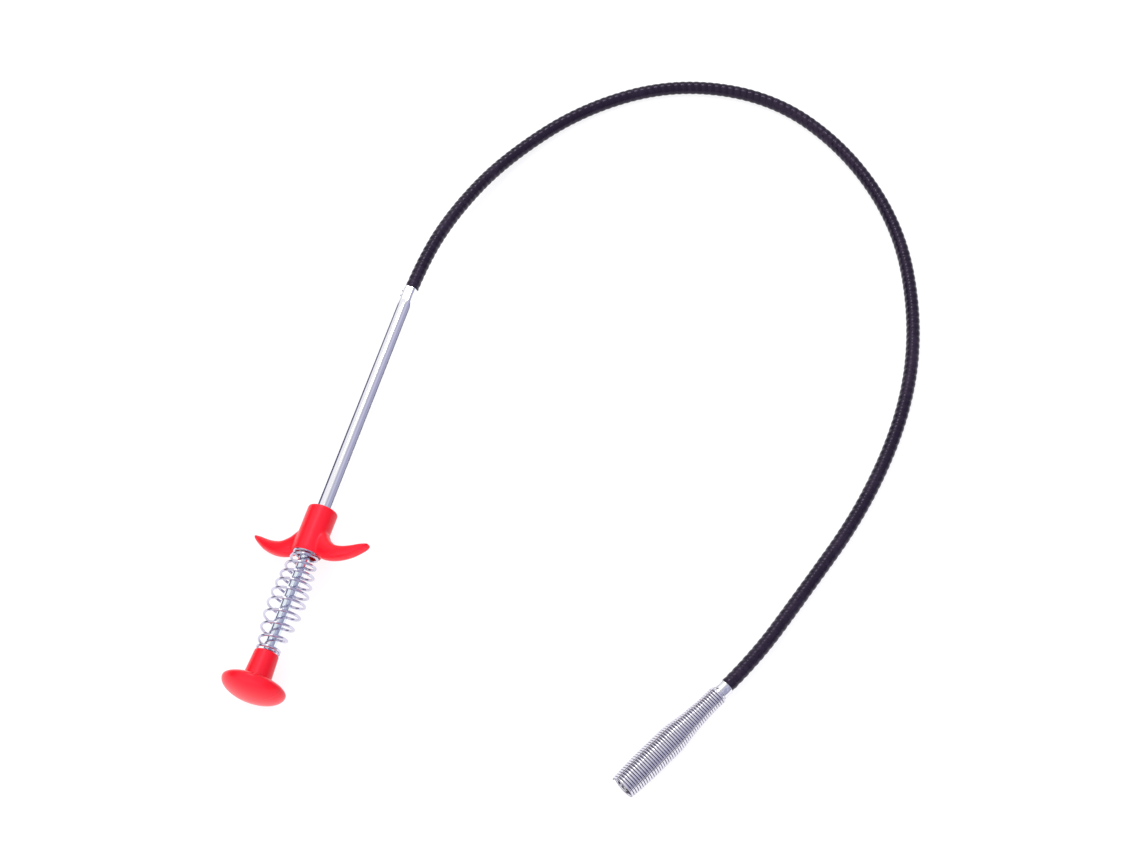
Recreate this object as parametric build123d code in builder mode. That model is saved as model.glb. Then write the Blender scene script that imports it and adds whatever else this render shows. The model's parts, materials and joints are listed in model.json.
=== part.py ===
from build123d import *
import math
import os

# A claw-ended drain auger, in millimetres. The handle lies along +Y with its knob at low Y, the flexible
# sheath runs on from it in an open loop on the surface Z = 0, and the claw nose is at the sheath's far end.
# The origin is under the middle of the handle.

# handle
handle_length = 206.8          # knob face to the front end of the steel tube
knob_radius = 13.8
knob_front = 6.2               # bulge of the knob's face beyond its rim
knob_back = 3.8                # bulge of its back towards the stem
knob_end = 21.4                # knob face to the end of its stem
stem_root_radius = 5.95
stem_end_radius = 5.25
stem_edge = 0.8
rod_radius = 2.5
rod_depth = 12.0               # how far the rod is moulded into the knob's stem
rod_length = 98.0
rod_crimp_radius = 2.0
rod_crimp_length = 7.0
rod_chamfer = 0.25

# finger grip
grip_low = 67.8                # knob face to the grip's lower face
barrel_length = 21.5
barrel_radius = 6.7
barrel_edge = 0.6
seat_radius = 6.05             # shallow seat that centres the spring's last coil
seat_depth = 1.2
wing_reach = 28.8              # handle axis to the middle of a wing's rounded tip
wing_tip = 1.0                 # half width of the crescent at its tip
wing_tip_thickness = 2.3       # half thickness there
wing_curl = 4.9                # how far the tip stands forward of the grip's lower face

# tube and its guide bush
tube_radius = 4.0
tube_seat_draw = 0.25          # how far the stretch that the grip is moulded on is drawn down in radius
tube_wall = 0.8                # of the plain stretch
crimp_length = 11.0
crimp_wall = 0.45              # from the sheath to the middle of a flat
crimp_sides = 6
crimp_corner = 1.0             # rounding between two flats
dent_radius = 0.65
dent_depth = 0.2
dent_stations = (2.2, 4.8)     # from the tube's front end
dent_roll = 150.0              # degrees up from +X: the middle of the crimp's upper left flat
bush_length = 14.0
bush_flange = 1.0
slide_clearance = 0.05         # radial play of what slides in a guide

# return spring
spring_wire = 1.2
spring_knob_coils = 4          # open coils from the knob to the widest one and from there to the grip,
spring_grip_coils = 4          # between the two closed end coils
spring_knob_radius = 4.7       # mean radii of the coil at the stem, in the middle and at the grip
spring_middle_radius = 7.7
spring_grip_radius = 5.3

# flexible sheath: a plastic jacket on a steel coil, round the inner cable
sheath_radius = 3.15
jacket_wall = 0.7
coil_wall = 1.15
cable_radius = 0.9
sheath_grip = 10.0             # length held in the tube's crimped end

# claw nose
nose_wire = 1.2
nose_neck = 4.2                # outer radii of the coil: neck, shoulder, belly and mouth
nose_shoulder = 4.75
nose_belly = 6.2
nose_mouth = 5.5
nose_length = 57.5             # the coil alone
neck_length = 6.0              # from the coil's back end to where each stretch ends
shoulder_length = 16.5
belly_start = 30.0
belly_end = 42.0
ferrule_radius = 3.5
ferrule_cup = 3.5
ferrule_web = 0.9
spigot_length = 5.0

# claws and their hub
plunger_travel = 28.0
hub_radius = 2.0
hub_length = 9.0
hub_collar_radius = 3.75
hub_collar = 2.5
hub_chamfer = 0.6
hub_socket = 5.0               # depth of the cable's hole in the hub
claw_count = 4
claw_wire = 1.0
claw_circle = 1.0              # axis to the root of each claw
claw_lean = 3.0                # degrees away from the nose's axis
claw_inset = 0.9               # claw tips to the mouth, closed
claw_hook = 1.45               # how far each tip turns in towards the axis
claw_bend = 0.8
root_clearance = 0.08
cable_overlap = 14.0           # how far the claws' stretch of cable reaches back into the sheath

# The sheath's route, from its end in the tube to its end in the ferrule. It leaves the handle at the
# height of the handle's axis, comes down to lie on the surface, and rises to the height of the nose's axis.
route = [
    (0, 93, knob_radius),
    (0, 119, knob_radius),
    (5, 153, 11),
    (17, 193, 4.5),
    (45, 235, sheath_radius),
    (85, 263, sheath_radius),
    (133, 268, sheath_radius),
    (175, 247, sheath_radius),
    (209, 209, sheath_radius),
    (227, 160, sheath_radius),
    (232, 112, sheath_radius),
    (224, 58, sheath_radius),
    (206, 7.5, sheath_radius),
    (194, -26, nose_belly),
    (184.2, -43.5, nose_belly),
]

os.makedirs("parts", exist_ok=True)

# Stations along the handle, and the axes and planes that the pieces are drawn on.
tube_front = route[0][1] + sheath_grip
knob_face = tube_front - handle_length
rim = knob_face + knob_front
stem_end = knob_face + knob_end
rod_front = stem_end - rod_depth + rod_length
grip_face = knob_face + grip_low
grip_top = grip_face + barrel_length
seat = grip_face + seat_depth
tube_back = seat + bush_flange
tube_bore = tube_radius - tube_wall
tube_seat_radius = tube_radius - tube_seat_draw
crimp_start = tube_front - crimp_length
flat_distance = sheath_radius + crimp_wall
axis_height = knob_radius

handle_axis = Axis((0, 0, axis_height), (0, 1, 0))
handle_profile = Plane.XY.offset(axis_height)


def across_handle(station):
    """A plane square to the handle's axis, facing the sheath."""
    return Plane(origin=(0, station, axis_height), x_dir=(1, 0, 0), z_dir=(0, 1, 0))


sheath_start = Vector(*route[0])
sheath_end = Vector(*route[-1])
nose_dir = (sheath_end - Vector(*route[-2])).normalized()
nose_axis = Axis(sheath_end, nose_dir)
nose_profile = Plane(origin=sheath_end, x_dir=(nose_dir.Y, -nose_dir.X, 0), z_dir=(0, 0, 1))


def across_nose(station):
    """A plane square to the nose's axis, a distance past the sheath's end, facing the mouth."""
    return Plane(
        origin=sheath_end + nose_dir * station,
        x_dir=(nose_dir.Y, -nose_dir.X, 0),
        z_dir=nose_dir,
    )


neck = ferrule_web
mouth = neck + nose_length
hub_front = mouth - plunger_travel - 0.5
hub_back = hub_front - hub_length


# knob: a mushroom head on a tapering stem, moulded round the rod's end
with BuildPart() as knob:
    with BuildSketch(handle_profile):
        with BuildLine():
            back_reach = knob_back * math.sqrt(1 - (stem_root_radius / knob_radius) ** 2)
            front = EllipticalCenterArc((0, rim), knob_radius, knob_front, -90, arc_size=90)
            back_angle = math.degrees(math.asin(back_reach / knob_back))
            back = EllipticalCenterArc((0, rim), knob_radius, knob_back, 0, arc_size=back_angle)
            edge = Line(back @ 1, (stem_end_radius, stem_end))
            Line(edge @ 1, (0, stem_end))
            Line((0, stem_end), (0, knob_face))
        make_face()
    revolve(axis=handle_axis)
    fillet(knob.edges().filter_by(GeomType.CIRCLE).sort_by(Axis.Y)[-1], stem_edge)
    with BuildSketch(across_handle(stem_end - rod_depth)):
        Circle(rod_radius)
    extrude(amount=rod_depth, mode=Mode.SUBTRACT)
knob.part.label = "knob"
export_step(knob.part, "parts/knob.step")

# push rod: a plain steel rod with a socket in its front end for the cable's crimp
with BuildPart() as push_rod:
    with BuildSketch(across_handle(stem_end - rod_depth)):
        Circle(rod_radius)
    extrude(amount=rod_length)
    chamfer(push_rod.edges().sort_by(Axis.Y)[-1], rod_chamfer)
    with BuildSketch(across_handle(rod_front - rod_crimp_length)):
        Circle(rod_crimp_radius)
    extrude(amount=rod_crimp_length, mode=Mode.SUBTRACT)
push_rod.part.label = "push_rod"
export_step(push_rod.part, "parts/push_rod.step")

# the crimped sleeve that holds the cable in the rod
with BuildPart() as rod_crimp:
    with BuildSketch(across_handle(rod_front - rod_crimp_length)):
        Circle(rod_crimp_radius)
        Circle(cable_radius, mode=Mode.SUBTRACT)
    extrude(amount=rod_crimp_length)
rod_crimp.part.label = "rod_crimp"
export_step(rod_crimp.part, "parts/rod_crimp.step")

# the cable's stretch behind the sheath, which the rod pushes
with BuildPart() as cable_at_rod:
    with BuildSketch(across_handle(rod_front - rod_crimp_length)):
        Circle(cable_radius)
    extrude(amount=sheath_start.Y - plunger_travel - 1 - rod_front + rod_crimp_length)
cable_at_rod.part.label = "cable_at_rod"
export_step(cable_at_rod.part, "parts/cable_at_rod.step")

# finger grip: a barrel with two crescent wings, their hollow side towards the tube
# Each station is distance from the axis, lower edge and upper edge from the grip's face, half thickness.
wing_stations = [
    (0.37 * barrel_radius, 0.4, 13.5, 3.6),
    (0.985 * barrel_radius, -0.8, 11.6, 3.5),
    (0.33 * wing_reach, -1.5, 8.0, 3.4),
    (0.469 * wing_reach, -1.6, 5.3, 3.3),
    (0.625 * wing_reach, -0.9, 5.0, 3.2),
    (0.781 * wing_reach, 0.7, 5.7, 3.0),
    (0.903 * wing_reach, 2.8, 6.6, 2.7),
    (wing_reach, wing_curl, wing_curl + 2 * wing_tip, wing_tip_thickness),
    (wing_reach + wing_tip, wing_curl + wing_tip, wing_curl + 2.2 * wing_tip, 0.6 * wing_tip_thickness),
]
# The grip is rolled until the left wing's tip rests on the surface.
tip_corner = math.hypot(wing_reach, wing_tip_thickness)
wing_roll = math.degrees(math.asin(axis_height / tip_corner) - math.atan(wing_tip_thickness / wing_reach))

with BuildPart() as finger_grip:
    with BuildSketch(across_handle(grip_face)):
        Circle(barrel_radius)
    extrude(amount=barrel_length)
    for roll in (-wing_roll, 180 - wing_roll):
        outward = Vector(1, 0, 0).rotate(Axis.Y, roll)
        for distance, lower, upper, half_thickness in wing_stations:
            centre = Vector(0, grip_face + (lower + upper) / 2, axis_height) + outward * distance
            with BuildSketch(Plane(origin=centre, x_dir=(0, 1, 0), z_dir=outward)):
                Ellipse((upper - lower) / 2, half_thickness)
        loft()
    with BuildSketch(across_handle(grip_face)):
        Circle(tube_seat_radius)
    extrude(amount=barrel_length, mode=Mode.SUBTRACT)
    with BuildSketch(across_handle(seat)):
        Circle(seat_radius)
    extrude(amount=-seat_depth - barrel_radius, mode=Mode.SUBTRACT)
    top_edges = finger_grip.edges().group_by(Axis.Y)[-1]
    fillet(top_edges.sort_by(SortBy.RADIUS)[-1], barrel_edge)
finger_grip.part.label = "finger_grip"
export_step(finger_grip.part, "parts/finger_grip.step")

# guide bush: pressed into the tube's back end, it centres the rod
with BuildPart() as guide_bush:
    with BuildSketch(across_handle(seat)):
        Circle(tube_seat_radius)
    extrude(amount=bush_flange)
    with BuildSketch(across_handle(tube_back)):
        Circle(tube_bore)
    extrude(amount=bush_length - bush_flange)
    with BuildSketch(across_handle(seat)):
        Circle(rod_radius + slide_clearance)
    extrude(amount=bush_length, mode=Mode.SUBTRACT)
guide_bush.part.label = "guide_bush"
export_step(guide_bush.part, "parts/guide_bush.step")

# handle tube, its front end pressed to six flats on the sheath, with two dents that lock it
dent_outward = Vector(1, 0, 0).rotate(Axis.Y, -dent_roll)
dent_floor = dent_outward * (flat_distance - dent_depth)
# The plain bore stops short of the crimp, so that a wall joins the two whatever their radii.
bore_end = crimp_start - tube_wall
with BuildPart() as handle_tube:
    with BuildSketch(across_handle(tube_back)):
        Circle(tube_seat_radius)
    extrude(amount=grip_top - tube_back)
    with BuildSketch(across_handle(grip_top)):
        Circle(tube_radius)
    extrude(amount=crimp_start - grip_top)
    with BuildSketch(across_handle(crimp_start)) as crimp:
        RegularPolygon(flat_distance, crimp_sides, major_radius=False)
        fillet(crimp.vertices(), crimp_corner)
    extrude(amount=crimp_length)
    with BuildSketch(across_handle(tube_back)):
        Circle(tube_bore)
    extrude(amount=bore_end - tube_back, mode=Mode.SUBTRACT)
    with BuildSketch(across_handle(bore_end)):
        Circle(sheath_radius + slide_clearance)
    extrude(amount=sheath_start.Y - bore_end, mode=Mode.SUBTRACT)
    with BuildSketch(across_handle(sheath_start.Y)):
        Circle(sheath_radius)
    extrude(amount=sheath_grip, mode=Mode.SUBTRACT)
    for station in dent_stations:
        dent_place = Vector(0, tube_front - station, axis_height) + dent_floor
        with BuildSketch(Plane(origin=dent_place, z_dir=dent_outward)):
            Circle(dent_radius)
        extrude(amount=tube_wall, mode=Mode.SUBTRACT)
handle_tube.part.label = "handle_tube"
export_step(handle_tube.part, "parts/handle_tube.step")

# return spring: barrel-shaped, with a closed coil at each end
closed_pitch = 1.05 * spring_wire
spring_start = stem_end + spring_wire / 2
open_height = seat - stem_end - spring_wire - 2 * closed_pitch
open_pitch = open_height / (spring_knob_coils + spring_grip_coils)
knob_height = open_pitch * spring_knob_coils
grip_height = open_pitch * spring_grip_coils
widening = math.degrees(math.atan((spring_middle_radius - spring_knob_radius) / knob_height))
narrowing = math.degrees(math.atan((spring_middle_radius - spring_grip_radius) / grip_height))
# The rod runs along the middle of the coils: pitch, height, first radius and cone of each stretch.
spring_stretches = [
    (closed_pitch, closed_pitch, spring_knob_radius, 0),
    (open_pitch, knob_height, spring_knob_radius, widening),
    (open_pitch, grip_height, spring_middle_radius, -narrowing),
    (closed_pitch, closed_pitch, spring_grip_radius, 0),
]
with BuildPart() as return_spring:
    with BuildLine() as coil:
        station = spring_start
        for pitch, rise, radius, cone in spring_stretches:
            centre = (0, station, axis_height)
            slant = math.cos(math.radians(cone))
            Helix(pitch / slant, rise, radius, center=centre, direction=(0, 1, 0), cone_angle=cone)
            station += rise
    with BuildSketch(Plane(origin=coil.line @ 0, z_dir=coil.line % 0)):
        Circle(spring_wire / 2)
    sweep(is_frenet=True)
return_spring.part.label = "return_spring"
export_step(return_spring.part, "parts/return_spring.step")

# The sheath's line: straight runs joined by arcs as large as the runs on each side allow.
points = [Vector(*point) for point in route]
runs = [points[i + 1] - points[i] for i in range(len(points) - 1)]
arc_share = 0.45
radii = []
for before, after in zip(runs, runs[1:]):
    half_turn = math.radians(before.get_angle(after)) / 2
    radii.append(arc_share * min(before.length, after.length) / math.tan(half_turn))
route_plane = Plane(origin=sheath_start, z_dir=runs[0])

# sheath coil: the close-wound steel coil that carries the push and pull, as a plain tube
coil_radius = sheath_radius - jacket_wall
with BuildPart() as sheath_coil:
    with BuildLine() as sheath_line:
        FilletPolyline(*route, radius=radii)
    with BuildSketch(route_plane):
        Circle(coil_radius)
        Circle(coil_radius - coil_wall, mode=Mode.SUBTRACT)
    sweep()
sheath_coil.part.label = "sheath_coil"
export_step(sheath_coil.part, "parts/sheath_coil.step")
print("sheath length", round(sheath_line.wires()[0].length, 1))

# sheath jacket: the plastic cover on that coil
with BuildPart() as sheath_jacket:
    with BuildLine():
        FilletPolyline(*route, radius=radii)
    with BuildSketch(route_plane):
        Circle(sheath_radius)
        Circle(coil_radius, mode=Mode.SUBTRACT)
    sweep()
sheath_jacket.part.label = "sheath_jacket"
export_step(sheath_jacket.part, "parts/sheath_jacket.step")

# the cable's stretch inside the sheath
with BuildPart() as cable_in_sheath:
    with BuildLine():
        FilletPolyline(*route, radius=radii)
    with BuildSketch(route_plane):
        Circle(cable_radius)
    sweep()
    with BuildSketch(across_nose(-cable_overlap)):
        Circle(2 * cable_radius)
    extrude(amount=2 * cable_overlap, mode=Mode.SUBTRACT)
cable_in_sheath.part.label = "cable_in_sheath"
export_step(cable_in_sheath.part, "parts/cable_in_sheath.step")

# nose ferrule: a cup on the sheath's end, with a spigot that the nose coil is pushed on to
cable_bore = coil_radius - coil_wall
with BuildPart() as nose_ferrule:
    with BuildSketch(across_nose(-ferrule_cup)):
        Circle(ferrule_radius)
    extrude(amount=ferrule_cup + ferrule_web)
    with BuildSketch(across_nose(neck)):
        Circle(nose_neck - nose_wire)
    extrude(amount=spigot_length)
    with BuildSketch(across_nose(-ferrule_cup)):
        Circle(sheath_radius)
    extrude(amount=ferrule_cup, mode=Mode.SUBTRACT)
    with BuildSketch(across_nose(0)):
        Circle(cable_bore)
    extrude(amount=ferrule_web + spigot_length, mode=Mode.SUBTRACT)
nose_ferrule.part.label = "nose_ferrule"
export_step(nose_ferrule.part, "parts/nose_ferrule.step")

# nose coil: close-wound wire, as a plain shell of the wire's thickness, open at the mouth
nose_outline = [
    (nose_neck, neck),
    (nose_neck, neck + neck_length),
    (nose_shoulder, neck + shoulder_length),
    (nose_belly, neck + belly_start),
    (nose_belly, neck + belly_end),
    (nose_mouth, mouth),
]
nose_slopes = [(0, 1), (0, 1), (0.07, 1), (0, 1), (0, 1), (-0.08, 1)]
with BuildPart() as nose_coil:
    with BuildSketch(nose_profile):
        with BuildLine():
            outside = Spline(*nose_outline, tangents=nose_slopes)
            inner_outline = [(radius - nose_wire, station) for radius, station in nose_outline]
            inside = Spline(*inner_outline, tangents=nose_slopes)
            Line(outside @ 0, inside @ 0)
            Line(outside @ 1, inside @ 1)
        make_face()
    revolve(axis=nose_axis)
nose_coil.part.label = "nose_coil"
export_step(nose_coil.part, "parts/nose_coil.step")

# the cable's stretch at the claws, from inside the sheath to the claw hub
with BuildPart() as cable_at_claws:
    with BuildSketch(across_nose(-cable_overlap)):
        Circle(cable_radius)
    extrude(amount=cable_overlap + hub_back + hub_socket)
cable_at_claws.part.label = "cable_at_claws"
export_step(cable_at_claws.part, "parts/cable_at_claws.step")

# Each claw's root is at the hub's front face, in the direction outward from the nose's axis.
claw_planes = across_nose(hub_front)
claw_outwards = []
for index in range(claw_count):
    angle = math.radians((index + 0.5) * 360 / claw_count)
    claw_outwards.append(claw_planes.x_dir * math.cos(angle) + claw_planes.y_dir * math.sin(angle))
claw_roots = [claw_planes.origin + outward * claw_circle for outward in claw_outwards]

# claw hub: holds the cable at its back and the claws' roots in round seats at its front
with BuildPart() as claw_hub:
    with BuildSketch(across_nose(hub_back)):
        Circle(hub_collar_radius)
    extrude(amount=hub_collar)
    chamfer(claw_hub.edges().sort_by(nose_axis)[0], hub_chamfer)
    with BuildSketch(across_nose(hub_back)):
        Circle(hub_radius)
    extrude(amount=hub_length)
    with BuildSketch(across_nose(hub_back)):
        Circle(cable_radius)
    extrude(amount=hub_socket, mode=Mode.SUBTRACT)
    with Locations(*claw_roots):
        Sphere(claw_wire / 2 + root_clearance, mode=Mode.SUBTRACT)
claw_hub.part.label = "claw_hub"
export_step(claw_hub.part, "parts/claw_hub.step")

# claws: sprung wires with a ball at the root and a tip hooked in towards the axis
claw_reach = mouth - claw_inset - claw_wire / 2 - hub_front
for index, (outward, root) in enumerate(zip(claw_outwards, claw_roots), start=1):
    elbow = root + nose_dir * claw_reach + outward * claw_reach * math.tan(math.radians(claw_lean))
    tip = elbow - outward * claw_hook + nose_dir * claw_bend / 4
    with BuildPart() as claw:
        with BuildLine() as wire:
            FilletPolyline(root, elbow, tip, radius=claw_bend)
        with BuildSketch(Plane(origin=wire.line @ 0, z_dir=wire.line % 0)):
            Circle(claw_wire / 2)
        sweep()
        with Locations(root):
            Sphere(claw_wire / 2)
    claw.part.label = f"claw_{index}"
    export_step(claw.part, f"parts/claw_{index}.step")
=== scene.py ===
import json
import math

import bmesh
import bpy
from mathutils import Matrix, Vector
from mathutils.noise import noise


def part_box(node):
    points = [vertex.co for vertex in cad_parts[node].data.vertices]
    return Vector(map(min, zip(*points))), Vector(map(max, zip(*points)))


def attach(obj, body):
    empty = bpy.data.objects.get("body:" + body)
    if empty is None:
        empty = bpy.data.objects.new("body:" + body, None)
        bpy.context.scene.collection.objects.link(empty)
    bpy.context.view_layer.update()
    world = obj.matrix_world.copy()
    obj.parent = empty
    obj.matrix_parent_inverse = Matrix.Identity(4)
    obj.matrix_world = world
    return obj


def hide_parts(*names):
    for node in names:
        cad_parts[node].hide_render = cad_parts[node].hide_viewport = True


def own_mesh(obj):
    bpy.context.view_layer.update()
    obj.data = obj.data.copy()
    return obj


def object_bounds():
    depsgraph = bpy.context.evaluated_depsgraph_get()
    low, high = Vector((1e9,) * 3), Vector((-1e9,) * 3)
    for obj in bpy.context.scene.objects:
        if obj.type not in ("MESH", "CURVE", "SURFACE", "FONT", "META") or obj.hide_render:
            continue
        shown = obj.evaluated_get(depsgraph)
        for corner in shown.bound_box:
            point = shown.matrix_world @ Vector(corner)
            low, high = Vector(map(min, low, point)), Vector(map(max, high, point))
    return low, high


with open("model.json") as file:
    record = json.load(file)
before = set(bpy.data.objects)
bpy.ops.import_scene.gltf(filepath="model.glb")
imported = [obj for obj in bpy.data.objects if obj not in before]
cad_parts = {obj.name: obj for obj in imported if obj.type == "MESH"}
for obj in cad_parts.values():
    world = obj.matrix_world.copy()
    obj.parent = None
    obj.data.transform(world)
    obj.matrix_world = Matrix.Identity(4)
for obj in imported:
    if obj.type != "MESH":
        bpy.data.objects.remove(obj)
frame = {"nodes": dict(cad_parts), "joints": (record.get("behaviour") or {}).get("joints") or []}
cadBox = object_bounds()
scene = bpy.context.scene
nodes = frame["nodes"]


# Where the camera stands and how it looks.
cameraSetup = {
    "place": (0.19665, -0.3091, 0.7114),
    "azimuth": 16.26,        # degrees round from looking along +Y
    "elevation": 61.5,
    "lens": 56.75,
}


def makeCamera(setup):
    turn = math.radians(setup["azimuth"])
    tilt = math.radians(setup["elevation"])
    sight = Vector((-math.sin(turn) * math.cos(tilt), math.cos(turn) * math.cos(tilt), -math.sin(tilt)))
    lens = bpy.data.cameras.new("camera")
    lens.lens = setup["lens"]
    lens.clip_start = 0.01
    camera = bpy.data.objects.new("camera", lens)
    camera.location = setup["place"]
    camera.rotation_mode = "QUATERNION"
    camera.rotation_quaternion = sight.to_track_quat("-Z", "Y")
    scene.collection.objects.link(camera)
    scene.camera = camera


makeCamera(cameraSetup)
print("camera made")


def addObject(name, mesh):
    piece = bpy.data.objects.new(name, mesh)
    scene.collection.objects.link(piece)
    return piece


def skinRings(name, rings, caps=True, closed=False):
    # Quads between rings of equal count; an open skin gets a fan over each end.
    count = len(rings[0])
    points = [point for ring in rings for point in ring]
    faces = []
    last = len(rings) if closed else len(rings) - 1
    for row in range(last):
        here = row * count
        there = (row + 1) % len(rings) * count
        for step in range(count):
            after = (step + 1) % count
            faces.append((here + step, here + after, there + after, there + step))
    if caps and not closed:
        for start, flip in ((0, True), ((len(rings) - 1) * count, False)):
            ring = points[start:start + count]
            centre = len(points)
            points.append(sum(ring, Vector()) / count)
            for step in range(count):
                after = (step + 1) % count
                corners = (start + step, start + after, centre)
                faces.append(corners[::-1] if flip else corners)
    mesh = bpy.data.meshes.new(name)
    mesh.from_pydata([tuple(point) for point in points], [], faces)
    mesh.validate()
    finishMesh(mesh)
    return addObject(name, mesh)


def finishMesh(mesh, sharpAbove=40):
    work = bmesh.new()
    work.from_mesh(mesh)
    bmesh.ops.recalc_face_normals(work, faces=work.faces)
    work.to_mesh(mesh)
    work.free()
    for face in mesh.polygons:
        face.use_smooth = True
    mesh.set_sharp_from_angle(angle=math.radians(sharpAbove))


def wireRings(centres, outwards, radius, sides, endEase=0.0):
    # Rings of a round wire along centres; outwards are directions away from the coil's axis.
    rings = []
    last = len(centres) - 1
    for index, centre in enumerate(centres):
        along = (centres[min(index + 1, last)] - centres[max(index - 1, 0)]).normalized()
        side = along.cross(outwards[index]).normalized()
        out = side.cross(along)
        rings.append([
            centre + (out * math.cos(angle) + side * math.sin(angle)) * radius
            for angle in (2 * math.pi * step / sides for step in range(sides))
        ])
    if endEase:
        for row, toward in ((0, 1), (last, last - 1)):
            push = (centres[row] - centres[toward]).normalized() * endEase
            middle = centres[row]
            edge = [middle + (point - middle) * (1 - endEase / radius) + push for point in rings[row]]
            if row == 0:
                rings.insert(0, edge)
            else:
                rings.append(edge)
    return rings


def circle(radius, station, sides):
    # A ring of points about the handle's axis.
    return [
        Vector((radius * math.cos(a), station, axisHeight + radius * math.sin(a)))
        for a in (2 * math.pi * step / sides for step in range(sides))
    ]


def ease(share):
    share = min(max(share, 0.0), 1.0)
    return share * share * (3 - 2 * share)


class Link:
    # A socket's value that can be used in sums; each sum adds a Math node.
    def __init__(self, shader, socket):
        self.shader = shader
        self.socket = socket

    def sum(self, operation, first, second=0.0):
        return self.shader.add("ShaderNodeMath", {"operation": operation}, {0: first, 1: second})

    def __add__(self, other):
        return self.sum("ADD", self, other)

    def __radd__(self, other):
        return self.sum("ADD", other, self)

    def __sub__(self, other):
        return self.sum("SUBTRACT", self, other)

    def __rsub__(self, other):
        return self.sum("SUBTRACT", other, self)

    def __mul__(self, other):
        return self.sum("MULTIPLY", self, other)

    def __rmul__(self, other):
        return self.sum("MULTIPLY", other, self)

    def __truediv__(self, other):
        return self.sum("DIVIDE", self, other)

    def __rtruediv__(self, other):
        return self.sum("DIVIDE", other, self)

    def __abs__(self):
        return self.sum("ABSOLUTE", self)

    def clamped(self):
        return self.shader.add("ShaderNodeClamp", {}, {"Value": self})


class Shader:
    # The nodes of a new material, or of a new world.
    def __init__(self, name, kind=bpy.data.materials):
        self.owner = kind.new(name)
        self.owner.use_nodes = True
        self.tree = self.owner.node_tree
        self.tree.nodes.clear()

    def add(self, kind, settings, sockets, output=0):
        node = self.tree.nodes.new(kind)
        for key, value in settings.items():
            if key == "stops":
                ramp = node.color_ramp.elements
                while len(ramp) < len(value):
                    ramp.new(0.5)
                for stop, (place, colour) in zip(ramp, value):
                    stop.position = place
                    stop.color = colour
            else:
                setattr(node, key, value)
        for key, value in sockets.items():
            if isinstance(value, Link):
                self.tree.links.new(value.socket, node.inputs[key])
            else:
                node.inputs[key].default_value = value
        return Link(self, node.outputs[output]) if node.outputs else None

    def place(self):
        return self.add("ShaderNodeTexCoord", {}, {}, "Object")

    def along(self, vector, direction):
        sockets = {0: vector, 1: direction}
        return self.add("ShaderNodeVectorMath", {"operation": "DOT_PRODUCT"}, sockets, "Value")

    def noise(self, vector, scale, detail=3.0, rough=0.5):
        sockets = {"Vector": vector, "Scale": scale, "Detail": detail, "Roughness": rough}
        return self.add("ShaderNodeTexNoise", {}, sockets, 0)

    def stretched(self, vector, factors):
        return self.add("ShaderNodeVectorMath", {"operation": "MULTIPLY"}, {0: vector, 1: factors})

    def mixColour(self, amount, first, second):
        # Sockets 0, 6 and 7 are the factor and the two colours; output 2 is the colour.
        return self.add("ShaderNodeMix", {"data_type": "RGBA"}, {0: amount, 6: first, 7: second}, 2)

    def finish(self, sockets, height=None, depth=0.0001, strength=1.0):
        if height is not None:
            bump = {"Height": height, "Distance": depth, "Strength": strength}
            sockets = {**sockets, "Normal": self.add("ShaderNodeBump", {}, bump)}
        surface = self.add("ShaderNodeBsdfPrincipled", {}, sockets)
        self.add("ShaderNodeOutputMaterial", {}, {"Surface": surface})
        return self.owner


def colour(red, green, blue):
    return (red, green, blue, 1.0)


redLook = {
    "colour": colour(0.84, 0.006, 0.014),
    "deep": colour(0.77, 0.004, 0.010),
    "glossTint": colour(0.95, 0.60, 0.92),
    "roughness": 0.30,
    "roughnessSpread": 0.08,
    "specular": 0.45,
    "cloudScale": 60.0,
    "streakScale": 700.0,
    "streakStretch": (1.0, 0.15, 1.0),
    "streakSpread": 0.05,    # in roughness
    "peelScale": 900.0,
    "peelHeight": 0.12,      # heights are parts of the bump's depth
    "seamWidth": 0.00012,
    "seamHeight": 0.5,
    "bumpDepth": 0.0001,
}


def redPlastic(name, look, seamNormal):
    # Moulded gloss plastic: cloudy gloss, a faint orange peel and the mould's parting seam.
    shader = Shader(name)
    place = shader.place()
    cloud = shader.noise(place, look["cloudScale"], 4.0)
    tone = shader.mixColour(cloud, look["colour"], look["deep"])
    streak = shader.noise(shader.stretched(place, look["streakStretch"]), look["streakScale"], 2.0)
    roughness = look["roughness"] + (cloud - 0.5) * look["roughnessSpread"]
    roughness += (streak - 0.5) * look["streakSpread"]
    peel = shader.noise(place, look["peelScale"], 2.0)
    centred = shader.add(
        "ShaderNodeVectorMath", {"operation": "SUBTRACT"}, {0: place, 1: (0.0, 0.0, axisHeight)}
    )
    offSeam = abs(shader.along(centred, seamNormal)) / look["seamWidth"]
    seam = (1 - offSeam).clamped()
    height = peel * look["peelHeight"] + seam * look["seamHeight"]
    sockets = {
        "Base Color": tone,
        "Roughness": roughness,
        "Specular IOR Level": look["specular"],
        "Specular Tint": look["glossTint"],
    }
    return shader.finish(sockets, height, look["bumpDepth"])


plating = {
    "cloudScale": 90.0,
    "spotContrast": 1.6,
    "spotStart": 0.5,
    "bumpDepth": 0.00002,
    "bumpStrength": 0.35,
}


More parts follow.
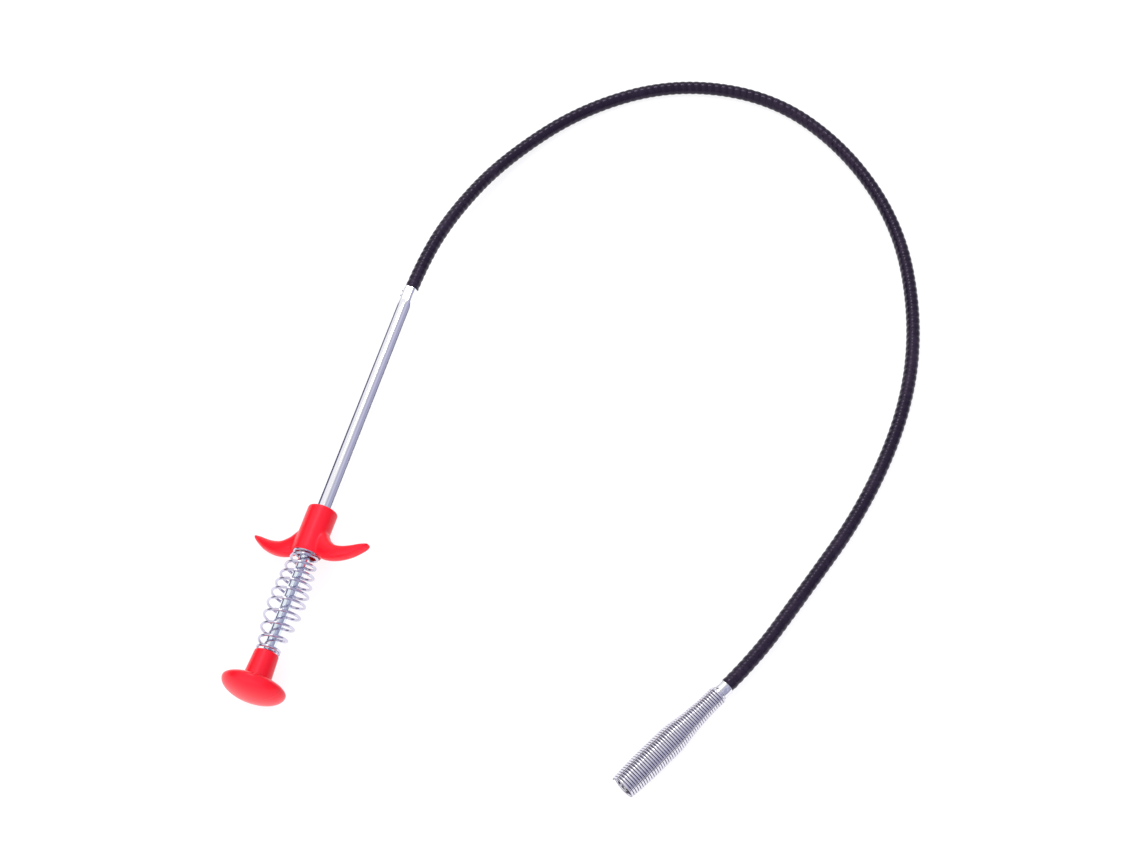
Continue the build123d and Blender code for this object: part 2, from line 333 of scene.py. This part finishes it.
def platedSteel(name, tone, shade, roughness, grain, stretch=(1.0, 1.0, 1.0), scale=500.0):
    # Bright plated metal, with faint drawing marks and cloudy spots in its polish.
    shader = Shader(name)
    place = shader.place()
    marks = shader.noise(shader.stretched(place, stretch), scale, 4.0, 0.6)
    cloud = shader.noise(place, plating["cloudScale"], 5.0)
    spots = (cloud * plating["spotContrast"] - plating["spotStart"]).clamped()
    rough = (roughness + (marks - 0.5) * grain + (cloud - 0.5) * grain).clamped()
    sockets = {"Base Color": shader.mixColour(spots, tone, shade), "Metallic": 1.0, "Roughness": rough}
    return shader.finish(sockets, marks, plating["bumpDepth"], plating["bumpStrength"])


sheathLook = {
    "colour": colour(0.009, 0.0055, 0.013),
    "worn": colour(0.022, 0.014, 0.028),
    "glossTint": colour(0.80, 0.68, 1.0),
    "roughness": 0.24,
    "wornRoughness": 0.18,   # added where it is worn
    "roughnessSpread": 0.08,
    "specular": 0.30,
    "cloudScale": 45.0,
    "scuffScale": 420.0,
    "wearContrast": 5.0,
    "wearStart": 1.1,        # higher leaves less of it worn
    "skinScale": 1600.0,
    "bumpDepth": 0.00004,
    "bumpStrength": 0.5,
}


def sheathPlastic(name, look):
    # Soft black jacket: satin, scuffed paler in small patches, with a fine moulded skin.
    shader = Shader(name)
    place = shader.place()
    cloud = shader.noise(place, look["cloudScale"], 5.0, 0.6)
    scuff = shader.noise(place, look["scuffScale"], 4.0, 0.7)
    wear = (cloud * scuff * look["wearContrast"] - look["wearStart"]).clamped()
    tone = shader.mixColour(wear, look["colour"], look["worn"])
    skin = shader.noise(place, look["skinScale"], 2.0)
    roughness = look["roughness"] + wear * look["wornRoughness"]
    roughness += (cloud - 0.5) * look["roughnessSpread"]
    sockets = {
        "Base Color": tone,
        "Roughness": roughness,
        "Specular IOR Level": look["specular"],
        "Specular Tint": look["glossTint"],
    }
    return shader.finish(sockets, skin * 0.4 + scuff * 0.4, look["bumpDepth"], look["bumpStrength"])


cableLook = {
    # painted shade: the colour of the valleys between strands
    "valley": colour(0.16, 0.15, 0.15),
    "strand": colour(0.58, 0.57, 0.56),
    "roughness": 0.42,
    "strandGloss": 0.14,     # taken off the roughness at the top of a strand
    "lay": 2600.0,           # radians a metre, along and across the cable
    "bumpDepth": 0.00012,
    "bumpStrength": 0.8,
}


def strandedCable(name, axis, across, look):
    # Stranded wire rope, its strands a slanted pattern round the cable, with painted shade in the valleys
    # between them.
    shader = Shader(name)
    place = shader.place()
    run = shader.along(place, axis)
    side = shader.along(place, across)
    lay = run * look["lay"] + side * look["lay"]
    strand = abs(shader.add("ShaderNodeMath", {"operation": "SINE"}, {0: lay}))
    # painted shade: darker in the valleys between strands
    tone = shader.mixColour(strand, look["valley"], look["strand"])
    roughness = look["roughness"] - strand * look["strandGloss"]
    sockets = {"Base Color": tone, "Metallic": 1.0, "Roughness": roughness}
    return shader.finish(sockets, strand, look["bumpDepth"], look["bumpStrength"])


bushLook = {
    "colour": colour(0.78, 0.77, 0.70),
    "pale": colour(0.86, 0.85, 0.80),
    "roughness": 0.42,
    "roughnessSpread": 0.15,
    "milkiness": 0.2,
    "cloudScale": 300.0,
    "bumpDepth": 0.00005,
    "bumpStrength": 0.4,
}


def naturalPlastic(name, look):
    # Milky unpigmented moulding of the guide bush.
    shader = Shader(name)
    place = shader.place()
    cloud = shader.noise(place, look["cloudScale"], 3.0)
    sockets = {
        "Base Color": shader.mixColour(cloud, look["colour"], look["pale"]),
        "Roughness": look["roughness"] + (cloud - 0.5) * look["roughnessSpread"],
        "Subsurface Weight": look["milkiness"],
    }
    return shader.finish(sockets, cloud, look["bumpDepth"], look["bumpStrength"])


# Places read from the frame.
tubeLow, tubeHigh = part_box("handle_tube")
axisHeight = (tubeLow.z + tubeHigh.z) / 2
tubeRadius = (tubeHigh.x - tubeLow.x) / 2
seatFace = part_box("guide_bush")[0].y
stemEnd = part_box("knob")[1].y


# The sheath, a flexible cord, is built as a fixed mesh along a spline; these are the control points of its
# route.
sheathRoute = [
    (0.0, 0.093, 0.0138),
    (0.0, 0.119, 0.0138),
    (0.005, 0.153, 0.011),
    (0.017, 0.193, 0.0045),
    (0.045, 0.235, 0.00315),
    (0.085, 0.263, 0.00315),
    (0.133, 0.268, 0.00315),
    (0.175, 0.247, 0.00315),
    (0.209, 0.209, 0.00315),
    (0.227, 0.160, 0.00315),
    (0.232, 0.112, 0.00315),
    (0.224, 0.058, 0.00315),
    (0.206, 0.0075, 0.00315),
    (0.194, -0.026, 0.0062),
    (0.1842, -0.0435, 0.0062),
]
sheathShape = {
    "length": 0.607,
    "radius": 0.00315,
    "pitch": 0.0034,         # of the turns that show through the jacket
    "ribDepth": 0.00020,
    "valley": 1.7,           # above 1 the valleys are narrower than the crests
    "wander": 0.00003,
    "wanderScale": 900,
    "sides": 36,
    "resolution": 150,       # points in each span of the spline
}


def routeLine(route, resolution):
    curve = bpy.data.curves.new("sheathLine", "CURVE")
    curve.dimensions = "3D"
    spline = curve.splines.new("NURBS")
    spline.points.add(len(route) - 1)
    for point, place in zip(spline.points, route):
        point.co = (*place, 1.0)
    spline.order_u = 3
    spline.use_endpoint_u = True
    spline.resolution_u = resolution
    curve.resolution_u = resolution
    line = addObject("sheathLine", curve)
    mesh = bpy.data.meshes.new_from_object(line)
    points = [vertex.co.copy() for vertex in mesh.vertices]
    bpy.data.objects.remove(line)
    bpy.data.meshes.remove(mesh)
    return points


def makeSheath(points, look):
    rings = []
    travelled = 0.0
    normal = Vector((0, 0, 1))
    last = len(points) - 1
    direction = (points[1] - points[0]).normalized()
    for index, centre in enumerate(points):
        if index:
            travelled += (centre - points[index - 1]).length
        ahead = (points[min(index + 1, last)] - points[max(index - 1, 0)]).normalized()
        normal.rotate(direction.rotation_difference(ahead))
        normal = (normal - ahead * normal.dot(ahead)).normalized()
        direction = ahead
        side = ahead.cross(normal)
        ring = []
        for step in range(look["sides"]):
            angle = 2 * math.pi * step / look["sides"]
            phase = 2 * math.pi * travelled / look["pitch"] - angle
            dip = (0.5 - 0.5 * math.cos(phase)) ** look["valley"] * look["ribDepth"]
            out = normal * math.cos(angle) + side * math.sin(angle)
            wander = noise(centre * look["wanderScale"] + out * 2) * look["wander"]
            ring.append(centre + out * (look["radius"] - dip - abs(wander)))
        rings.append(ring)
    return skinRings("sheathCover", rings), travelled


sheathPoints = routeLine(sheathRoute, sheathShape["resolution"])
sheathCover, sheathLength = makeSheath(sheathPoints, sheathShape)
sheathCover.data.materials.append(sheathPlastic("sheathBlack", sheathLook))
print("sheath made,", len(sheathPoints), "rings,", round(sheathLength, 4), "m")


# The nose, a plated ferrule and close-wound wire, runs on from the sheath's end.
noseEnd = Vector(sheathRoute[-1])
noseAim = (noseEnd - Vector(sheathRoute[-2])).normalized()
noseAcross = Vector((noseAim.y, -noseAim.x, 0.0))
noseUp = noseAim.cross(noseAcross)

noseLook = {
    "wire": 0.00118,
    "neck": 0.0009,          # from the sheath's end to the coil's back end
    "length": 0.0575,
    "turns": 46,
    "first": 0.0006,         # middle of the first turn's wire from the coil's back end
    "steps": 44,             # points in each turn
    "sides": 12,
    # stations from the coil's back end, outer radius and slope
    "outline": [
        (0.0, 0.0042, 0.0),
        (0.006, 0.0042, 0.0),
        (0.0165, 0.00475, 0.07),
        (0.030, 0.0062, 0.0),
        (0.042, 0.0062, 0.0),
        (0.0575, 0.0055, -0.08),
    ],
    "jitter": 0.00003,       # small differences between turns
}


def coilRadius(station, outline):
    # Cubic between the outline's stations, with the slope given at each.
    for (startPlace, startRadius, startSlope), (endPlace, endRadius, endSlope) in zip(outline, outline[1:]):
        if station <= endPlace:
            break
    run = endPlace - startPlace
    t = min(max((station - startPlace) / run, 0.0), 1.0)
    return (
        (2 * t ** 3 - 3 * t ** 2 + 1) * startRadius
        + (t ** 3 - 2 * t ** 2 + t) * run * startSlope
        + (3 * t ** 2 - 2 * t ** 3) * endRadius
        + (t ** 3 - t ** 2) * run * endSlope
    )


def makeNoseCoil(look):
    half = look["wire"] / 2
    first = look["first"]
    rise = look["length"] - 2 * first
    centres = []
    outwards = []
    total = look["turns"] * look["steps"]
    for index in range(total + 1):
        turn = index / look["steps"]
        station = first + rise * index / total
        angle = 2 * math.pi * turn
        out = noseAcross * math.cos(angle) + noseUp * math.sin(angle)
        jitter = noise(Vector((math.floor(turn) * 1.7, 0.3, 0.9))) * look["jitter"]
        radius = coilRadius(station, look["outline"]) - first + min(jitter, 0.0)
        centres.append(noseEnd + noseAim * (look["neck"] + station) + out * radius)
        outwards.append(out)
    rings = wireRings(centres, outwards, half, look["sides"], half * 0.3)
    return skinRings("noseCoil", rings)


ferruleLook = {
    "radius": 0.0035,
    "back": -0.0035,
    "front": 0.0009,
    "edge": 0.0003,
    "bore": 0.00315,
    "spigot": 0.003,
    "spigotLength": 0.005,
    "hole": 0.0013,
    "dimples": 4,
    "dimpleDepth": 0.00028,
    "dimpleReach": 0.0007,
    "dimpleRoll": 0.35,      # as a part of the step from one dimple to the next
    "rows": 14,
    "sides": 96,
    "plate": {
        "tone": colour(0.88, 0.88, 0.90),
        "shade": colour(0.74, 0.74, 0.78),
        "roughness": 0.10,
        "grain": 0.08,       # how much the roughness varies
    },
}


def makeFerrule(look):
    # Outline of (station, radius) round the whole section, cup first.
    edge, back, front, rows = look["edge"], look["back"], look["front"], look["rows"]
    outline = [
        (back + edge * (1 - math.cos(a)), look["radius"] - edge * (1 - math.sin(a)))
        for a in (math.pi / 8 * k for k in range(5))
    ]
    outline += [
        (back + edge + (front - back - 2 * edge) * k / rows, look["radius"])
        for k in range(1, rows + 1)
    ]
    outline += [
        (front - edge * (1 - math.sin(a)), look["radius"] - edge * (1 - math.cos(a)))
        for a in (math.pi / 8 * k for k in range(1, 5))
    ]
    outline += [
        (front, look["spigot"]),
        (front + look["spigotLength"], look["spigot"]),
        (front + look["spigotLength"], look["hole"]),
        (0.0, look["hole"]),
        (0.0, look["bore"]),
        (back, look["bore"]),
    ]
    middle = (back + front) / 2
    rings = []
    for station, radius in outline:
        ring = []
        for step in range(look["sides"]):
            angle = 2 * math.pi * step / look["sides"]
            dip = 0.0
            if radius > look["radius"] - edge * 0.5:
                share = look["dimples"] * angle / (2 * math.pi) + look["dimpleRoll"]
                off = (share - round(share)) * 2 * math.pi / look["dimples"] * radius
                reach = math.hypot(off, station - middle) / look["dimpleReach"]
                dip = look["dimpleDepth"] * math.exp(-reach ** 2)
            out = noseAcross * math.cos(angle) + noseUp * math.sin(angle)
            ring.append(noseEnd + noseAim * station + out * (radius - dip))
        rings.append(ring)
    return skinRings("noseFerrule", rings, caps=False, closed=True)


noseSteelLook = {
    "steel": colour(0.84, 0.83, 0.88),
    "shade": colour(0.66, 0.64, 0.74),
    # painted shade: the colour put where one turn meets the next
    "turnGapShade": colour(0.13, 0.12, 0.15),
    "grooveStart": 0.30,     # from the middle of the wire, as a part of the pitch
    "grooveSharpness": 5.0,
    "roughness": 0.13,
}


def woundSteel(name, look, coil):
    # Plated wire, with painted shade where one turn meets the next.
    shader = Shader(name)
    place = shader.place()
    centred = shader.add("ShaderNodeVectorMath", {"operation": "SUBTRACT"}, {0: place, 1: tuple(noseEnd)})
    station = shader.along(centred, tuple(noseAim))
    across = shader.along(centred, tuple(noseAcross))
    up = shader.along(centred, tuple(noseUp))
    angle = shader.add("ShaderNodeMath", {"operation": "ARCTAN2"}, {0: up, 1: across})
    pitch = (coil["length"] - 2 * coil["first"]) / coil["turns"]
    turn = (station - coil["neck"] - coil["first"]) / pitch - angle / (2 * math.pi) + 0.5
    offset = abs(shader.add("ShaderNodeMath", {"operation": "FRACT"}, {0: turn}) - 0.5)
    cloud = shader.noise(place, 400.0, 4.0)
    # painted shade between turns, its edge broken a little by noise
    paintedShadeMask = ((offset - look["grooveStart"]) * look["grooveSharpness"] + (cloud - 0.5) * 0.5).clamped()
    steel = shader.mixColour(cloud, look["steel"], look["shade"])
    tone = shader.mixColour(paintedShadeMask, steel, look["turnGapShade"])
    roughness = look["roughness"] + paintedShadeMask * 0.3 + cloud * 0.05
    sockets = {"Base Color": tone, "Metallic": 1.0, "Roughness": roughness}
    return shader.finish(sockets, cloud, 0.00002, 0.3)


noseCoil = makeNoseCoil(noseLook)
noseFerrule = makeFerrule(ferruleLook)
noseSteel = woundSteel("noseSteel", noseSteelLook, noseLook)
brightPlate = platedSteel("brightPlate", **ferruleLook["plate"])
noseCoil.data.materials.append(noseSteel)
noseFerrule.data.materials.append(brightPlate)
print("nose made")


tubeLook = {
    "bore": 0.0032,
    "seatRadius": 0.00375,   # under the finger grip
    "gripReach": 0.0203,     # from the bush to the grip's top, where the tube widens
    "seatStep": 0.0001,
    "sheathBore": 0.00315,
    "sheathDepth": 0.010,    # length of the sheath in the tube
    "crimpLength": 0.011,
    "crimpEase": 0.005,      # over which the round tube turns into the six flats
    "flats": 0.0036,         # axis to flat
    "corner": 0.00395,
    "cornerRound": 14.0,     # higher is sharper
    "lip": 0.00015,
    "dents": (0.0022, 0.0048),
    "dentRoll": 150.0,
    "dentDepth": 0.0005,
    "dentReach": 0.00062,
    "dentStretch": 0.8,      # below 1 the dents are longer than wide
    "rows": 64,              # rings along the crimp
    "sides": 144,
    "chrome": {
        "tone": colour(0.90, 0.90, 0.93),
        "shade": colour(0.82, 0.82, 0.87),
        "roughness": 0.07,
        "grain": 0.05,
        "stretch": (1.0, 0.04, 1.0),
        "scale": 1400.0,
    },
}


def crimpRadius(angle, look):
    # Six flats with rounded corners between, the corners at 0, 60, 120 degrees and so on.
    off = (angle + math.pi / 6) % (math.pi / 3) - math.pi / 6
    flat = look["flats"] / math.cos(math.pi / 6 - abs(off))
    power = look["cornerRound"] * 4
    return (flat ** -power + look["corner"] ** -power) ** (-1 / power)


def makeTube(look):
    gripTop = seatFace + look["gripReach"]
    front = tubeHigh.y
    back = tubeLow.y
    crimpStart = front - look["crimpLength"]
    stations = [gripTop + look["seatStep"], crimpStart - 0.004, crimpStart - 0.002]
    stations += [crimpStart + look["crimpLength"] * k / look["rows"] for k in range(look["rows"])]
    stations += [front - look["lip"], front]
    dentRoll = math.radians(look["dentRoll"])
    rings = [circle(look["seatRadius"], station, look["sides"]) for station in (back, gripTop)]
    rings.append(circle(tubeRadius, gripTop, look["sides"]))
    for station in stations:
        share = ease((station - crimpStart) / look["crimpEase"])
        ring = []
        for step in range(look["sides"]):
            angle = 2 * math.pi * step / look["sides"]
            radius = tubeRadius + (crimpRadius(angle, look) - tubeRadius) * share
            for dent in look["dents"]:
                turn = math.atan2(math.sin(angle - dentRoll), math.cos(angle - dentRoll))
                along = (front - dent - station) * look["dentStretch"]
                reach = math.hypot(turn * radius, along) / look["dentReach"]
                radius -= look["dentDepth"] * math.exp(-reach ** 2)
            if station == front:
                radius -= look["lip"]
            ring.append(Vector((radius * math.cos(angle), station, axisHeight + radius * math.sin(angle))))
        rings.append(ring)
    sheathBack = front - look["sheathDepth"]
    inside = [
        (front, look["sheathBore"]),
        (sheathBack, look["sheathBore"]),
        (sheathBack, look["bore"]),
        (back, look["bore"]),
    ]
    rings += [circle(radius, station, look["sides"]) for station, radius in inside]
    return skinRings("handleTube", rings, caps=False, closed=True)


handleTube = makeTube(tubeLook)
tubeChrome = platedSteel("tubeChrome", **tubeLook["chrome"])
handleTube.data.materials.append(tubeChrome)
print("tube made")


springLook = {
    "wire": 0.0012,
    "closedPitch": 0.00126,
    "knobCoils": 4,          # open coils in the half at the knob and in the half at the grip
    "gripCoils": 5,
    "knobRadius": 0.0047,    # mean radii of the coil
    "middleRadius": 0.0077,
    "gripRadius": 0.0053,
    "steps": 56,
    "sides": 16,
    "steel": {
        "tone": colour(0.70, 0.68, 0.80),
        "shade": colour(0.50, 0.48, 0.62),
        "roughness": 0.10,
        "grain": 0.08,
    },
}


def makeSpring(look):
    half = look["wire"] / 2
    first = stemEnd + half
    last = seatFace - half
    closed = look["closedPitch"]
    openRise = (last - first) / 2 - closed
    stretches = [
        (1, closed, look["knobRadius"], look["knobRadius"]),
        (look["knobCoils"], openRise, look["knobRadius"], look["middleRadius"]),
        (look["gripCoils"], openRise, look["middleRadius"], look["gripRadius"]),
        (1, closed, look["gripRadius"], look["gripRadius"]),
    ]
    centres = []
    outwards = []
    station = first
    turned = 0
    for coils, rise, startRadius, endRadius in stretches:
        count = coils * look["steps"]
        for step in range(count):
            share = step / count
            angle = 2 * math.pi * (turned + coils * share)
            quarter = share * math.pi / 2
            bulge = math.sin(quarter) if startRadius < endRadius else 1 - math.cos(quarter)
            radius = startRadius + (endRadius - startRadius) * bulge
            out = Vector((math.cos(angle), 0, -math.sin(angle)))
            centres.append(Vector((0, station + rise * share, axisHeight)) + out * radius)
            outwards.append(out)
        station += rise
        turned += coils
    rings = wireRings(centres, outwards, half, look["sides"], half * 0.3)
    return skinRings("returnSpring", rings)


returnSpring = makeSpring(springLook)
springSteel = platedSteel("springSteel", **springLook["steel"])
returnSpring.data.materials.append(springSteel)
print("spring made")


gripLook = {
    "barrelRadius": 0.0067,
    "barrelLength": 0.0215,
    "seatDepth": 0.0012,
    "seatRadius": 0.00605,
    "bore": 0.00375,
    "topEdge": 0.0006,
    "lowEdge": 0.0003,
    "wingRoll": 23.97,       # degrees, right wing up
    "wingSquare": 2.5,       # 2 is an oval section, more is squarer
    "voxel": 0.00032,
    "sides": 96,
    "core": 0.001,           # radius where each end's rings stop
    "wingSteps": 6,          # rings between two stations of a wing
    "wingSides": 40,
    # where the wings' roots are smoothed into the barrel: out from it, and along it from the low face
    "blendOut": (0.0008, 0.0012, 0.0022),
    "blendLow": (-0.0030, 0.0012),
    "blendHigh": (0.0135, 0.003),
    "blendRounds": 26,
    "evenRounds": 3,
    "cutBeyond": 0.01,       # how far the borers reach past the grip
    # distance from the axis, lower and upper edge from the low face, half thickness
    "wing": [
        (0.0025, 0.0004, 0.0135, 0.0036),
        (0.0066, -0.0006, 0.0112, 0.0035),
        (0.0095, -0.0014, 0.0078, 0.0034),
        (0.0135, -0.0016, 0.0053, 0.0033),
        (0.0180, -0.0009, 0.0049, 0.0032),
        (0.0225, 0.0007, 0.0056, 0.0030),
        (0.0260, 0.0028, 0.0065, 0.0027),
        (0.0286, 0.0048, 0.0069, 0.0022),
        (0.0297, 0.0060, 0.0071, 0.0014),
    ],
}


def smoothStations(stations, count):
    # A Catmull-Rom line through the stations, divided evenly.
    found = []
    for index in range(len(stations) - 1):
        quad = [stations[max(index - 1, 0)], stations[index], stations[index + 1],
                stations[min(index + 2, len(stations) - 1)]]
        for step in range(count):
            t = step / count
            found.append([
                0.5 * (2 * b + (c - a) * t + (2 * a - 5 * b + 4 * c - d) * t * t
                       + (3 * b - a - 3 * c + d) * t ** 3)
                for a, b, c, d in zip(*quad)
            ])
    found.append(list(stations[-1]))
    return found


def makeGrip(look):
    low = seatFace - look["seatDepth"]
    high = low + look["barrelLength"]
    sides = look["sides"]
    radius, lowEdge, topEdge = look["barrelRadius"], look["lowEdge"], look["topEdge"]
    profile = [(low, look["core"]), (low, radius - lowEdge)]
    profile += [
        (low + lowEdge * (1 - math.cos(a)), radius - lowEdge * (1 - math.sin(a)))
        for a in (math.pi / 8 * k for k in range(1, 5))
    ]
    profile += [
        (high - topEdge * (1 - math.sin(a)), radius - topEdge * (1 - math.cos(a)))
        for a in (math.pi / 12 * k for k in range(7))
    ]
    profile += [(high, look["core"])]
    body = skinRings("fingerGrip", [circle(radius, station, sides) for station, radius in profile])
    parts = [body]
    for side in (0, 180):
        roll = math.radians(look["wingRoll"] + side)
        out = Vector((math.cos(roll), 0, math.sin(roll)))
        thick = Vector((-math.sin(roll), 0, math.cos(roll)))

        def bend(part):
            return math.copysign(abs(part) ** (2 / look["wingSquare"]), part)

        rings = []
        for distance, lower, upper, half in smoothStations(look["wing"], look["wingSteps"]):
            centre = Vector((0, low + (lower + upper) / 2, axisHeight)) + out * distance
            depth = Vector((0, 1, 0)) * (upper - lower) / 2
            rings.append([
                centre + depth * bend(math.cos(a)) + thick * half * bend(math.sin(a))
                for a in (2 * math.pi * step / look["wingSides"] for step in range(look["wingSides"]))
            ])
        parts.append(skinRings(f"wing{side}", rings))
    work = bmesh.new()
    for part in parts:
        work.from_mesh(part.data)
    work.to_mesh(body.data)
    work.free()
    for part in parts[1:]:
        bpy.data.objects.remove(part)
    remesh = body.modifiers.new("join", "REMESH")
    remesh.mode = "VOXEL"
    remesh.voxel_size = look["voxel"]
    applyModifiers(body)
    group = body.vertex_groups.new(name="blend")
    offset, flat, fade = look["blendOut"]
    for vertex in body.data.vertices:
        x, y, z = vertex.co.x, vertex.co.y - low, vertex.co.z - axisHeight
        out = math.hypot(x, z)
        near = 1 - ease((abs(out - look["barrelRadius"] - offset) - flat) / fade)
        span = 1 - ease((y - look["blendHigh"][0]) / look["blendHigh"][1])
        span *= ease((y - look["blendLow"][0]) / look["blendLow"][1])
        group.add([vertex.index], near * span, "REPLACE")
    soften = body.modifiers.new("soften", "SMOOTH")
    soften.factor = 0.5
    soften.iterations = look["blendRounds"]
    soften.vertex_group = "blend"
    even = body.modifiers.new("even", "SMOOTH")
    even.factor = 0.5
    even.iterations = look["evenRounds"]
    applyModifiers(body)
    for radius, start, end in (
        (look["bore"], low - look["cutBeyond"], high + look["cutBeyond"]),
        (look["seatRadius"], low - look["cutBeyond"], seatFace),
    ):
        tool = skinRings("borer", [circle(radius, station, sides) for station in (start, end)])
        cut = body.modifiers.new("cut", "BOOLEAN")
        cut.operation = "DIFFERENCE"
        cut.solver = "EXACT"
        cut.object = tool
        applyModifiers(body)
        bpy.data.objects.remove(tool)
    finishMesh(body.data, 35)
    return body


def applyModifiers(piece):
    graph = bpy.context.evaluated_depsgraph_get()
    mesh = bpy.data.meshes.new_from_object(piece.evaluated_get(graph))
    piece.modifiers.clear()
    old = piece.data
    piece.data = mesh
    bpy.data.meshes.remove(old)


fingerGrip = makeGrip(gripLook)
wingRoll = math.radians(gripLook["wingRoll"])
seamNormal = (-math.sin(wingRoll), 0.0, math.cos(wingRoll))
gripRed = redPlastic("gripRed", redLook, seamNormal)
knobRed = redPlastic("knobRed", redLook, seamNormal)
fingerGrip.data.materials.clear()
fingerGrip.data.materials.append(gripRed)
print("grip made,", len(fingerGrip.data.polygons), "faces")


# Finishes of the frame's own nodes that show.
metalLooks = {
    "rodSteel": {
        "tone": colour(0.80, 0.86, 0.92),
        "shade": colour(0.68, 0.74, 0.82),
        "roughness": 0.11,
        "grain": 0.08,
        "stretch": (1.0, 0.03, 1.0),
        "scale": 1800.0,
    },
    "clawSteel": {
        "tone": colour(0.50, 0.50, 0.52),
        "shade": colour(0.32, 0.32, 0.34),
        "roughness": 0.20,
        "grain": 0.12,
    },
    "crimpBrass": {
        "tone": colour(0.72, 0.55, 0.26),
        "shade": colour(0.58, 0.42, 0.18),
        "roughness": 0.30,
        "grain": 0.15,
    },
}
rodSteel, clawSteel, crimpBrass = [platedSteel(name, **look) for name, look in metalLooks.items()]
handleCable = strandedCable("handleCable", (0.0, 1.0, 0.0), (1.0, 0.0, 0.0), cableLook)
noseCable = strandedCable("noseCable", tuple(noseAim), tuple(noseAcross), cableLook)
finishes = {
    "knob": knobRed,
    "push_rod": rodSteel,
    "rod_crimp": crimpBrass,
    "cable_at_rod": handleCable,
    "guide_bush": naturalPlastic("bushPlastic", bushLook),
    "cable_at_claws": noseCable,
    "claw_hub": crimpBrass,
    "claw_1": clawSteel,
    "claw_2": clawSteel,
    "claw_3": clawSteel,
    "claw_4": clawSteel,
}
for nodeName, finish in finishes.items():
    slots = nodes[nodeName].material_slots
    if not slots:
        nodes[nodeName].data.materials.append(finish)
    for slot in slots:
        slot.material = finish
print("finishes set")


# What each piece rides on and which nodes it replaces.
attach(sheathCover, "handle")
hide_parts("sheath_jacket", "sheath_coil", "cable_in_sheath")
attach(noseCoil, "handle")
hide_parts("nose_coil")
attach(noseFerrule, "handle")
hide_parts("nose_ferrule")
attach(handleTube, "handle")
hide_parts("handle_tube")
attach(fingerGrip, "handle")
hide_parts("finger_grip")
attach(returnSpring, "handle")
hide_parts("return_spring")
springTravel = next(joint for joint in frame["joints"] if joint["name"] == "plunger_slide")["range_m"][1]
springKeep = 1 - springTravel / (seatFace - stemEnd)
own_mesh(returnSpring)


studio = {
    "floorColour": colour(0.25, 0.25, 0.253),
    "floorMottle": colour(0.24, 0.24, 0.245),
    "floorLight": colour(1.0, 1.0, 1.0),
    "floorGlow": 0.80,       # a lit table, which keeps the shadows faint
    "floorSize": 12.0,
    # each lamp's direction, distance, size, power, tint and whether it is mirrored in the metal
    "lamps": {
        "topSoftbox": ((-0.28, 0.5, 0.83), 1.2, (0.30, 0.30), 3.0, (1.0, 1.0, 1.0), True),
        "fill": ((-0.1, -0.1, 1.0), 1.4, (3.2, 3.2), 24.0, (1.0, 1.0, 1.0), False),
        "front": ((-0.15, -1.0, 0.30), 1.3, (1.6, 0.9), 9.0, (1.0, 0.93, 1.0), False),
    },
    # brightness of the surroundings from the left side round to the right
    "sides": [
        (0.00, colour(0.10, 0.10, 0.20)),
        (0.07, colour(0.10, 0.10, 0.20)),
        (0.11, colour(0.98, 0.98, 1.0)),
        (0.50, colour(1.0, 1.0, 1.0)),
        (0.56, colour(0.60, 0.60, 0.70)),
        (0.62, colour(0.50, 0.50, 0.62)),
        (0.76, colour(0.64, 0.64, 0.82)),
        (0.86, colour(0.40, 0.40, 0.56)),
        (1.00, colour(0.44, 0.44, 0.60)),
    ],
    "horizon": 0.12,         # share of that brightness down at the horizon
    "horizonFoot": 0.04,     # heights, as parts of 1, where it starts to rise and is whole again
    "horizonTop": 0.22,
}


def makeFloor(look):
    half = look["floorSize"] / 2
    centre = (cadBox[0] + cadBox[1]) / 2
    corners = [
        (centre.x + across * half, centre.y + along * half, -0.0001)
        for across, along in ((-1, -1), (1, -1), (1, 1), (-1, 1))
    ]
    mesh = bpy.data.meshes.new("floor")
    mesh.from_pydata(corners, [], [(0, 1, 2, 3)])
    floor = addObject("floor", mesh)
    shader = Shader("paleFloor")
    mottle = shader.noise(shader.place(), 6.0, 4.0)
    tone = shader.mixColour(mottle, look["floorColour"], look["floorMottle"])
    floor.data.materials.append(shader.finish({
        "Base Color": tone,
        "Roughness": 0.9,
        "Specular IOR Level": 0.1,
        "Emission Color": look["floorLight"],
        "Emission Strength": look["floorGlow"],
    }))


def makeLamp(name, toward, distance, size, power, tint, mirrored):
    centre = (cadBox[0] + cadBox[1]) / 2
    lamp = bpy.data.lights.new(name, "AREA")
    lamp.shape = "RECTANGLE"
    lamp.size, lamp.size_y = size
    lamp.energy = power
    lamp.color = tint
    holder = bpy.data.objects.new(name, lamp)
    direction = Vector(toward).normalized()
    holder.location = centre + direction * distance
    holder.rotation_mode = "QUATERNION"
    holder.rotation_quaternion = (-direction).to_track_quat("-Z", "Y")
    holder.visible_glossy = mirrored
    scene.collection.objects.link(holder)


def makeWorld(look):
    shader = Shader("studio", bpy.data.worlds)
    direction = shader.add("ShaderNodeTexCoord", {}, {}, "Generated")
    across = shader.add("ShaderNodeSeparateXYZ", {}, {0: direction}, "X")
    height = shader.add("ShaderNodeSeparateXYZ", {}, {0: direction}, "Z")
    tint = shader.add("ShaderNodeValToRGB", {"stops": look["sides"]}, {0: across * 0.5 + 0.5})
    strength = shader.add("ShaderNodeMapRange", {}, {
        "Value": height,
        "From Min": look["horizonFoot"],
        "From Max": look["horizonTop"],
        "To Min": look["horizon"],
    })
    light = shader.add("ShaderNodeBackground", {}, {"Color": tint, "Strength": strength})
    shader.add("ShaderNodeOutputWorld", {}, {"Surface": light})
    scene.world = shader.owner


makeFloor(studio)
for lampName, lampLook in studio["lamps"].items():
    makeLamp(lampName, *lampLook)
makeWorld(studio)
scene.view_settings.view_transform = "Standard"
print("studio made")
